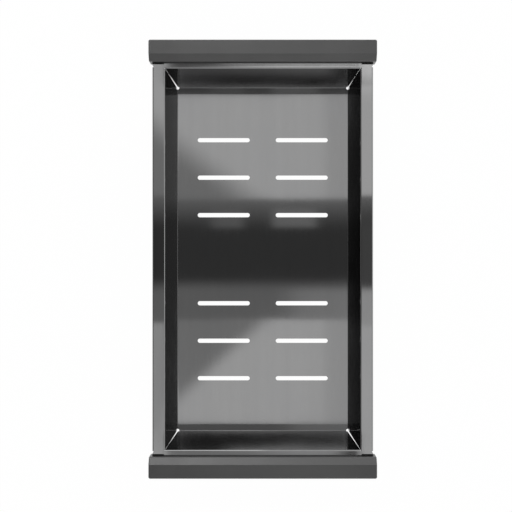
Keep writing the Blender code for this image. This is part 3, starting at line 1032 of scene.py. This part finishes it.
def make_screws():
    arm, flank = RECESS_LENGTH / 2, RECESS_WIDTH / 2
    screws = new_object("rail_screws", screw_body())
    cut_away(screws, recess_arm(arm, flank), recess_arm(flank, arm))
    screws.data.shade_smooth()
    screws.data.set_sharp_from_angle(angle=SMOOTH_ANGLE)
    run_tree(screws, screws_tree(), {"Metal": bright_steel, **SCREW_PLACES})
    applied(screws)
    numbers = range(1, SCREWS_PER_RAIL + 1)
    nodes = [f"{rail}_rail_screw_{number}" for rail in ("rear", "front") for number in numbers]
    dressed(screws, bright_steel, "screw_steel", *nodes)


# Lights and stage

def without_nodes(collection, name):
    """A new material or world, and its tree, whose nodes are all still to come."""
    made = collection.new(name)
    made.use_nodes = True
    made.node_tree.nodes.clear()
    return made, made.node_tree


def glow(tree, strength):
    return add_node(tree, "ShaderNodeEmission", Color=grey(1.0), Strength=strength).outputs[0]


def band(tree, value, low, low_softness, high, high_softness):
    return placed_group(
        tree, soft_band, Value=value,
        Low=low, Low_softness=low_softness, High=high, High_softness=high_softness,
    )["Mask"]


def painted_over(tree, light, brightness, *masks):
    """Replaces the light with another brightness where every mask is full."""
    share = masks[0]
    for mask in masks[1:]:
        share = times(tree, share, mask)
    return plus(tree, light, times(tree, minus(tree, brightness, light), share))


def overhead_material():
    """The studio overhead as the steel mirrors it, each patch painted over the ones before."""
    material, tree = without_nodes(bpy.data.materials, "overhead_light")
    place = place_on_object(tree)
    across, along, _ = add_node(tree, "ShaderNodeSeparateXYZ", Vector=place).outputs

    def patch(brightness, span_across, span_along, *masks):
        """Paints a soft rectangle. Each span is its low limit and softness, and its high ones."""
        return painted_over(tree, light, brightness,
                            band(tree, across, *span_across), band(tree, along, *span_along), *masks)

    # The studio past the diffuser, dimmer on the left and past both ends
    light = ramp(tree, across, -0.45, 0.45, 0.04, 0.10)
    light = patch(0.24, (0.355, 0.05, 0.75, 0.10), (0.15, 0.12, 0.60, 0.10))
    light = patch(0.04, (-0.285, 0.01, 0.285, 0.01), (-0.61, 0.03, 0.00, 0.10))

    # Strip lights past both ends
    strip = ramp(tree, across, -0.14, 0.10, 0.16, 0.55)
    light = patch(strip, (-0.395, 0.06, 0.285, 0.01), (0.573, 0.02, 0.95, 0.10))
    light = patch(1.90, (-0.12, 0.10, 0.285, 0.01), (0.588, 0.02, 0.609, 0.02))
    strip = ramp(tree, across, -0.28, 0.08, 0.26, 1.65)
    light = patch(strip, (-0.395, 0.06, 0.285, 0.01), (0.630, 0.01, 0.70, 0.06))
    strip = ramp(tree, across, -0.10, 0.15, 0.44, 0.62)
    light = patch(strip, (-0.395, 0.06, 0.24, 0.08), (-0.95, 0.10, -0.563, 0.03))
    strip = ramp(tree, across, -0.30, 0.02, 0.20, 0.86)
    light = patch(strip, (-0.395, 0.06, 0.26, 0.10), (-0.76, 0.10, -0.640, 0.01))

    # The diffuser, with its longer and brighter sides
    whole_length = (-0.521, 0.01, 0.523, 0.01)
    light = patch(1.02, (-0.37, 0.05, -0.288, 0.01), (-0.76, 0.04, 0.74, 0.04))
    light = patch(1.00, (-0.37, 0.05, 0.37, 0.05), whole_length)
    light = patch(0.83, (0.20, 0.08, 0.285, 0.02), whole_length)
    light = patch(1.05, (0.291, 0.01, 0.37, 0.05), (-0.76, 0.04, 0.50, 0.10))
    light = patch(1.60, (0.291, 0.01, 0.36, 0.06), (0.52, 0.12, 0.76, 0.06))

    # Grey wedges of shade that widen towards the left, behind the arm and in front of it
    shaded = times(tree, light, 0.45)
    left_of_middle = (-0.385, 0.06, 0.20, 0.02)
    edge = ramp(tree, plus(tree, along, times(tree, across, 0.75)), 0.230, 0.090)
    light = patch(shaded, left_of_middle, (0.00, 0.02, 0.52, 0.04), edge)
    edge = ramp(tree, minus(tree, times(tree, across, 0.92), along), 0.235, 0.155)
    light = patch(shaded, left_of_middle, (-0.60, 0.04, 0.00, 0.02), edge)
    light = patch(0.79, (-0.37, 0.05, -0.288, 0.02), (-0.55, 0.20, 0.00, 0.02))

    # The camera arm, and its darker core, which runs on past the diffuser
    light = patch(0.31, (-0.385, 0.06, 0.395, 0.05), (-0.190, 0.014, 0.189, 0.014))
    light = patch(0.50, (0.09, 0.12, 0.375, 0.05), (-0.190, 0.014, -0.092, 0.03))
    light = patch(0.85, (0.285, 0.02, 0.375, 0.04), (-0.200, 0.014, -0.083, 0.03))
    core = ramp(tree, across, -0.5, -0.28, 0.010, 0.080)
    light = patch(core, (-2.0, 0.10, 0.375, 0.08), (-0.078, 0.05, 0.144, 0.12))
    light = patch(0.27, (-0.16, 0.03, -0.06, 0.03), (0.100, 0.02, 0.160, 0.02))
    light = patch(0.36, (0.03, 0.03, 0.17, 0.03), (0.100, 0.02, 0.160, 0.02))
    light = patch(0.15, (0.291, 0.01, 0.375, 0.05), (-0.078, 0.05, 0.130, 0.10))
    light = patch(0.11, (0.375, 0.08, 2.0, 0.10), (-0.16, 0.08, 0.15, 0.10))
    light = patch(0.02, (-2.0, 0.10, -0.385, 0.05), (-0.21, 0.06, 0.00, 0.05))

    # Diffuse rays get plain white light at least, so that only mirrors show the dark patches
    ray = tree.nodes.new("ShaderNodeLightPath").outputs
    strength = largest(tree, light, ray["Is Diffuse Ray"])
    add_node(tree, "ShaderNodeOutputMaterial", Surface=glow(tree, strength))
    return material


def floor_material():
    """White to the camera and in reflections, and still a little darker where it is shaded."""
    material, tree = without_nodes(bpy.data.materials, "stage_floor")
    paper = add_node(tree, "ShaderNodeBsdfDiffuse", Color=grey(0.85)).outputs[0]
    ray = tree.nodes.new("ShaderNodeLightPath").outputs
    seen = largest(tree, ray["Is Camera Ray"], ray["Is Transmission Ray"], ray["Is Glossy Ray"])
    mix = add_node(tree, "ShaderNodeMixShader",
                   i0=times(tree, seen, 0.98), i1=paper, i2=glow(tree, 1.0))
    add_node(tree, "ShaderNodeOutputMaterial", Surface=mix.outputs[0])
    return material


def softbox_material():
    material, tree = without_nodes(bpy.data.materials, "softbox")
    add_node(tree, "ShaderNodeOutputMaterial", Surface=glow(tree, SOFTBOX_LEVEL))
    return material


def stage_plane(name, left, right, front, rear, material, seen):
    """A plane across from left to right, between a front and a rear edge, each as (y, z)."""
    bm = bmesh.new()
    corners = ((left, *front), (right, *front), (right, *rear), (left, *rear))
    bm.faces.new([bm.verts.new(corner) for corner in corners])
    plane = new_object(name, mesh_from(bm, name))
    plane.data.materials.append(material)
    plane.visible_camera = seen


def make_world():
    """White behind the tray, and in the steel's reflections a studio that is dimmer on the left."""
    world, tree = without_nodes(bpy.data.worlds, "studio")
    direction = add_node(tree, "ShaderNodeTexCoord").outputs["Generated"]
    sideways = add_node(tree, "ShaderNodeSeparateXYZ", Vector=direction).outputs["X"]
    room = ramp(tree, sideways, -0.35, 0.05, 0.30, 1.2)
    ray = tree.nodes.new("ShaderNodeLightPath").outputs
    plain = (ray["Is Camera Ray"], ray["Is Diffuse Ray"], ray["Is Transmission Ray"])
    strength = largest(tree, room, *plain)
    sky = add_node(tree, "ShaderNodeBackground", Color=grey(1.0), Strength=strength)
    add_node(tree, "ShaderNodeOutputWorld", Surface=sky.outputs[0])
    bpy.context.scene.world = world


def make_camera():
    data = bpy.data.cameras.new("camera")
    data.sensor_width = SENSOR
    data.lens = SENSOR * FOCAL_LENGTH_PX / IMAGE_SIZE
    data.shift_x = (IMAGE_SIZE / 2 - CENTRE_PX[0]) / IMAGE_SIZE
    data.shift_y = (CENTRE_PX[1] - IMAGE_SIZE / 2) / IMAGE_SIZE
    camera = new_object("camera", data)
    camera.location = (0, 0, flange_top + CAMERA_HEIGHT)
    bpy.context.scene.camera = camera


brushed_lines = brushed_group()
mottle_and_grain = mottle_group()
rubbed_edges = worn_group()
soft_band = band_group()
gunmetal = gunmetal_material()
rail_plastic = moulded_material(
    "rail_plastic", dark=0.028, light=0.034, roughness=0.30, gloss=1.0, grain_depth=0.00002)
base_plastic = moulded_material(
    "base_plastic", dark=0.026, light=0.034, roughness=0.55, gloss=0.5, grain_depth=0.00003)
bright_steel = screw_material()

make_pan()
make_caps()
make_bases()
make_screws()

stage_plane("stage_floor", *FLOOR_PLANE, floor_material(), True)
stage_plane("overhead_light", *OVERHEAD_PLANE, overhead_material(), False)
stage_plane("rear_softbox", *SOFTBOX_PLANE, softbox_material(), False)
make_world()
make_camera()
bpy.context.scene.view_settings.view_transform = "Standard"
